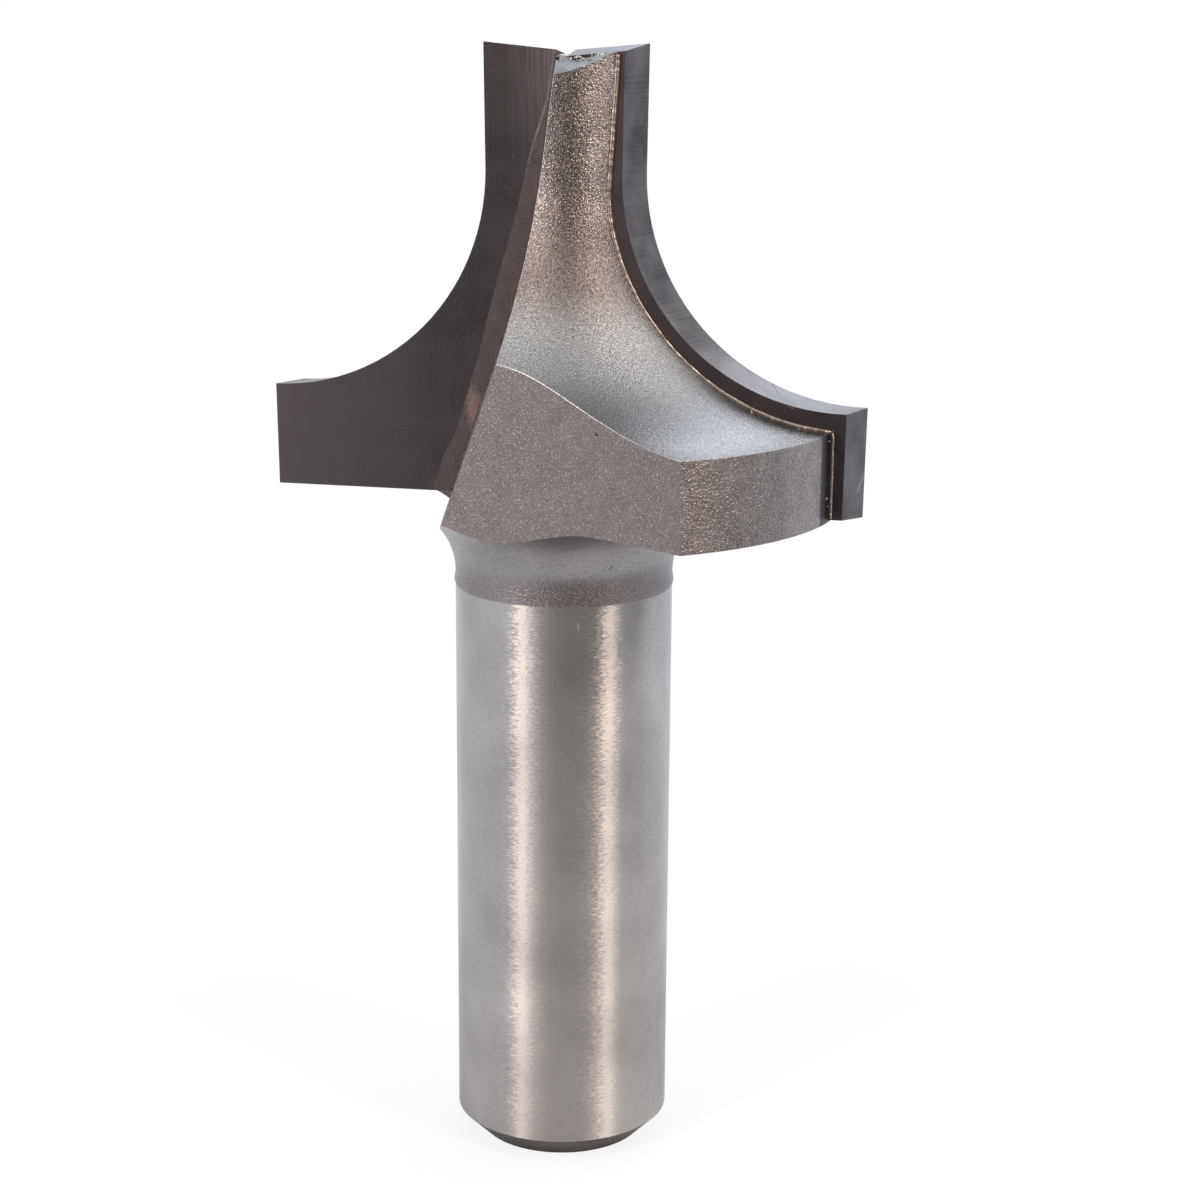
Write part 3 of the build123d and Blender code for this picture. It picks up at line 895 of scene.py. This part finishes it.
# Stage, lamps and camera
camera = {
    "distance": 140.345, "height": 68.015,       # mm from the axis and above the shank end
    "azimuth": 12.711, "yaw": 0.866, "tilt": 14.003, "roll": 0.435,   # degrees
    "lens": 73.775, "sensor": 36.0,
    "near": 0.01, "far": 20.0,                   # metres
}


# The level direction that lies this many degrees round from the camera
def levelDirection(turn):
    angle = math.radians(camera["azimuth"] + turn)
    return Vector((math.sin(angle), -math.cos(angle), 0.0))


def makeCamera():
    data = bpy.data.cameras.new("camera")
    data.lens, data.sensor_width = camera["lens"], camera["sensor"]
    data.clip_start, data.clip_end = camera["near"], camera["far"]
    view = addObject("camera", data)
    place = levelDirection(0.0) * camera["distance"] + Vector((0, 0, camera["height"]))
    stand = Matrix.Translation(place * mm)
    for axis, angle in (("Z", camera["azimuth"] - camera["yaw"]), ("X", 90 - camera["tilt"]),
                        ("Z", camera["roll"])):
        stand = stand @ Matrix.Rotation(math.radians(angle), 4, axis)
    view.matrix_world = stand
    bpy.context.scene.camera = view


# Angles are in degrees from the camera, sizes in millimetres, a span of heights as the Z of a direction
studio = {
    "floorRadius": 75.0, "floorColour": "DADAD9", "paperGlow": 1.05,
    "fadeFrom": 30.0, "fadeTo": 73.5,   # the paper is whiter from this radius to this one
    "paperShown": 0.8,                  # how white the camera sees it within that, where the shadow lies
    "lampDistance": 500.0,
    "stripLamps": {"left strip lamp": -46.0, "right strip lamp": 50.0},
    "stripLift": 100.0, "stripWidth": 110.0, "stripHeight": 640.0, "stripPower": 2.15,
    "stripColour": "FFF0E2",
    # turn, lift, width, height, power and colour
    "softLamps": {"back lamp": (163.0, 31.0, 300.0, 170.0, 0.34, "EAF2FF"),
                  "side lamp": (106.0, 43.0, 240.0, 150.0, 0.36, "FFF0E2")},
    "aimedAt": 0.7,                     # share of the bit's height
    # the light of the room on each side
    "back": 1.15, "side": 1.08, "sideSpan": (-1.0, 0.2), "skyColour": "ECF2FC",
    "front": 0.06, "frontTurn": 10.0, "frontWidth": 50.0, "frontHeights": (0.45, 0.8),
    "frontColour": "FBEAE0",
    "overhead": 0.55, "overheadHeights": (0.72, 0.97),
    "below": 0.9, "belowHeights": (-0.05, 0.15),
    "card": 0.35, "cardTurn": 74.0, "cardWidth": 34.0, "cardHeights": (0.0, 0.3),
    "backdropEdge": -0.85, "backdropTop": 0.1,
}


def addLamp(name, place, target, width, height, power, colour):
    data = bpy.data.lights.new(name, "AREA")
    data.shape, data.size, data.size_y = "RECTANGLE", width * mm, height * mm
    data.energy, data.color = power, linear(colour)[:3]
    lamp = addObject(name, data)
    lamp.location = place * mm
    lamp.rotation_euler = ((target - place) * mm).to_track_quat("-Z", "Y").to_euler()


def makeLamps():
    for name, turn in studio["stripLamps"].items():
        place = levelDirection(turn) * studio["lampDistance"]
        place.z = studio["stripLift"] + studio["stripHeight"] / 2
        addLamp(name, place, Vector((0, 0, place.z)), studio["stripWidth"], studio["stripHeight"],
                studio["stripPower"], studio["stripColour"])
    middle = Vector((0, 0, bit["height"] * studio["aimedAt"]))
    for name, (turn, lift, *rest) in studio["softLamps"].items():
        place = levelDirection(turn) * math.cos(math.radians(lift))
        place.z = math.sin(math.radians(lift))
        addLamp(name, middle + place * studio["lampDistance"], middle, *rest)


# What the camera sees directly, and what metal shows in turn
def whiteRays(add):
    rays = add("LightPath").outputs
    metal = add("Math", [rays["Is Glossy Ray"], rays["Is Transmission Ray"]], operation="MAXIMUM")
    return rays["Is Camera Ray"], metal


# The world is a pale studio, darker in front where the photographer stands, white to the camera
def makeWorld():
    world = bpy.data.worlds.new("studio")
    bpy.context.scene.world = world
    world.use_nodes = True
    world.node_tree.nodes.clear()
    add = partial(addNode, world.node_tree)
    direction = add("TexCoord").outputs["Generated"]
    height = add("SeparateXYZ", {"Vector": direction}).outputs["Z"]
    flat = add("VectorMath", [direction, (1.0, 1.0, 0.0)], operation="MULTIPLY")
    level = add("VectorMath", [flat], operation="NORMALIZE")
    front, card = (add("VectorMath", [level, levelDirection(studio[turn])], operation="DOT_PRODUCT")
                   for turn in ("frontTurn", "cardTurn"))
    frontEdge, cardEdge = (math.cos(math.radians(studio[width])) for width in ("frontWidth", "cardWidth"))
    # the dark front and the card beside it fade out sideways and upwards, the rest is a level of light
    fades = {}
    for name, value, span, levels, ease in (
            ("side", front, studio["sideSpan"], (studio["back"], studio["side"]), "LINEAR"),
            ("front", front, (frontEdge, 1.0), (0.0, 1.0), "SMOOTHSTEP"),
            ("frontUp", height, studio["frontHeights"], (1.0, 0.0), "SMOOTHSTEP"),
            ("overhead", height, studio["overheadHeights"], (1.0, studio["overhead"]), "SMOOTHSTEP"),
            ("below", height, studio["belowHeights"], (studio["below"], 1.0), "SMOOTHSTEP"),
            ("card", card, (cardEdge, 1.0), (0.0, 1.0), "SMOOTHSTEP"),
            ("cardUp", height, studio["cardHeights"], (1.0, 0.0), "SMOOTHSTEP")):
        fades[name] = add("MapRange", [value, *span, *levels], interpolation_type=ease)
    dark, carded = (add("Math", [fades[side], fades[side + "Up"]], operation="MULTIPLY")
                    for side in ("front", "card"))
    shaded = add("MapRange", [carded, 0.0, 1.0, 1.0, studio["card"]])
    light = fades["side"]
    for part in (shaded, fades["overhead"], fades["below"]):
        light = add("Math", [light, part], operation="MULTIPLY")
    strength = add("Mix", {"Factor": dark, "A": light, "B": studio["front"]}, data_type="FLOAT")
    tones = {"A": linear(studio["skyColour"]), "B": linear(studio["frontColour"])}
    colour = add("Mix", {"Factor": dark, **tones}, data_type="RGBA")
    room = add("Background", {"Color": colour, "Strength": strength})
    white = add("Background", {"Color": (1.0, 1.0, 1.0, 1.0), "Strength": 1.0})
    # metal shows the same white where the camera's own background is, behind the bit
    behind, under = (add("Math", [value, studio[edge]], operation="LESS_THAN")
                     for value, edge in ((front, "backdropEdge"), (height, "backdropTop")))
    backdrop = add("Math", [behind, under], operation="MULTIPLY")
    seenByCamera, seenByMetal = whiteRays(add)
    seen = add("Math", [seenByMetal, backdrop, seenByCamera], operation="MULTIPLY_ADD")
    shown = add("MixShader", [seen, room, white])
    add("OutputWorld", {"Surface": shown})


# A round sheet of white paper. The camera sees it as white as the world round it, with the
# bit's shadow kept close to the shank.
def makeFloor():
    mesh = bmesh.new()
    bmesh.ops.create_circle(mesh, cap_ends=True, segments=96, radius=studio["floorRadius"] * mm)
    data = bpy.data.meshes.new("floor")
    mesh.to_mesh(data)
    mesh.free()
    floor = addObject("floor", data)
    material, add, place = newMaterial("white paper")
    radius = add("VectorMath", [place], operation="LENGTH")
    fade, far = (add("MapRange", [radius, studio["fadeFrom"] * mm, studio["fadeTo"] * mm, least, 1.0])
                 for least in (studio["paperShown"], 0.0))
    paper = add("BsdfDiffuse", {"Color": linear(studio["floorColour"])})
    glow = add("Emission", {"Color": (1.0, 1.0, 1.0, 1.0), "Strength": studio["paperGlow"]})
    # metal shows that white further out, where it does not reach the bit's own shadow
    seenByCamera, seenByMetal = whiteRays(add)
    inMetal = add("Math", [seenByMetal, far], operation="MULTIPLY")
    share = add("Math", [seenByCamera, fade, inMetal], operation="MULTIPLY_ADD")
    mix = add("MixShader", [share, paper, glow])
    add("OutputMaterial", {"Surface": mix})
    data.materials.append(material)


makeCamera()
makeLamps()
makeWorld()
makeFloor()
bpy.context.scene.view_settings.view_transform = "Standard"
print("studio made")
